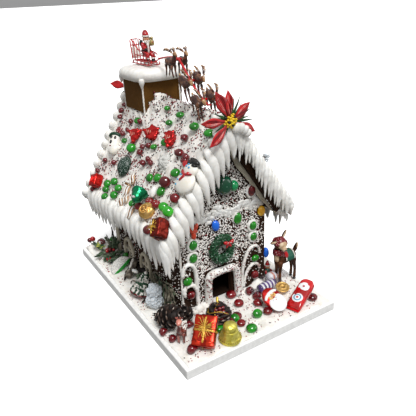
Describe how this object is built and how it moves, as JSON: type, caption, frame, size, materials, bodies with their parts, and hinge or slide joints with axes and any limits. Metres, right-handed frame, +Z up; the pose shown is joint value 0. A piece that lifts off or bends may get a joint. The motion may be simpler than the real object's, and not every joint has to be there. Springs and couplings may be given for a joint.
{
  "type": "gingerbread house",
  "caption": "Decorated gingerbread house on a white cake board: steep snowy roof hung with icicles, open doorway, chimney with sleigh and reindeer team, candies all over.",
  "frame": {"origin": "centre of the cake board's underside, which rests on the table", "axes": "+Z up, +Y along the ridge from the door gable to the back, +X to the right seen from the door"},
  "size_m": [0.2505, 0.3874, 0.3843],
  "materials": {
    "cake_board": "foil-covered drum board, white with a cool cast, satin",
    "royal_icing": "dried royal icing, warm white, matt",
    "gingerbread": "dark baked gingerbread, matt, open crumb",
    "red_candy": "painted red figure, glossy",
    "red_foil": "crinkled red foil wrapping",
    "maroon_foil": "crinkled dark red foil wrapping",
    "gold_foil": "gold foil over chocolate",
    "yellow_foil": "yellow foil over a moulded chocolate bell",
    "teal_foil": "green foil over chocolate",
    "green_jelly": "sugared green jelly",
    "green_plastic": "snow-dusted green sprigs",
    "brown_plastic": "moulded brown figures",
    "red_plastic": "glossy red moulding",
    "petal_cloth": "red cloth petals",
    "cone_wood": "pine cones, dark brown, matt",
    "grey_wood": "weathered wood",
    "clear_wrap": "clear film over a pale sweet"
  },
  "bodies": {
    "root": {"cake_board": "cake_board", "board_icing": "royal_icing", "wall_front": "gingerbread", "wall_back": "gingerbread", "wall_left": "gingerbread", "wall_right": "gingerbread", "roof_left": "gingerbread", "roof_right": "gingerbread", "roof_icing": "royal_icing", "icicles_left": "royal_icing", "icicles_right": "royal_icing", "rake_icing_left": "royal_icing", "rake_icing_right": "royal_icing", "shell_border_back": "royal_icing", "chimney_left": "gingerbread", "chimney_right": "gingerbread", "chimney_front": "gingerbread", "chimney_back": "gingerbread", "chimney_cap": "royal_icing", "door_frame": "royal_icing", "wreath": "green_jelly", "jelly_gable": "green_jelly", "sleigh": "red_plastic", "rider": "red_candy", "reindeer_left_1": "brown_plastic", "reindeer_right_1": "brown_plastic", "reindeer_left_2": "brown_plastic", "reindeer_right_2": "brown_plastic", "reindeer_left_3": "brown_plastic", "reindeer_right_3": "brown_plastic", "harness": "red_plastic", "poinsettia_front": "petal_cloth", "poinsettia_back": "petal_cloth", "snowman_icing": "royal_icing", "snowman_face": "royal_icing", "gumdrop_green": "green_jelly", "gumdrop_white": "royal_icing", "gift_red": "red_foil", "gift_maroon": "maroon_foil", "bell_teal": "teal_foil", "ornament_gold": "gold_foil", "foil_sweet_1": "red_foil", "foil_sweet_2": "red_foil", "foil_sweet_3": "red_foil", "sprig_cluster": "green_plastic", "fruit_slice": "green_jelly", "log": "grey_wood", "snowy_tree": "green_plastic", "frosted_figure": "royal_icing", "pine_cone_1": "cone_wood", "pine_cone_2": "cone_wood", "pine_cone_3": "cone_wood", "deer_small": "red_candy", "gift_orange": "red_foil", "bell_yellow": "yellow_foil", "chocolate_face": "red_foil", "candy_pack": "red_plastic", "wrapped_candy": "clear_wrap", "gold_coin": "gold_foil", "fawn": "brown_plastic"}
  },
  "joints": []
}
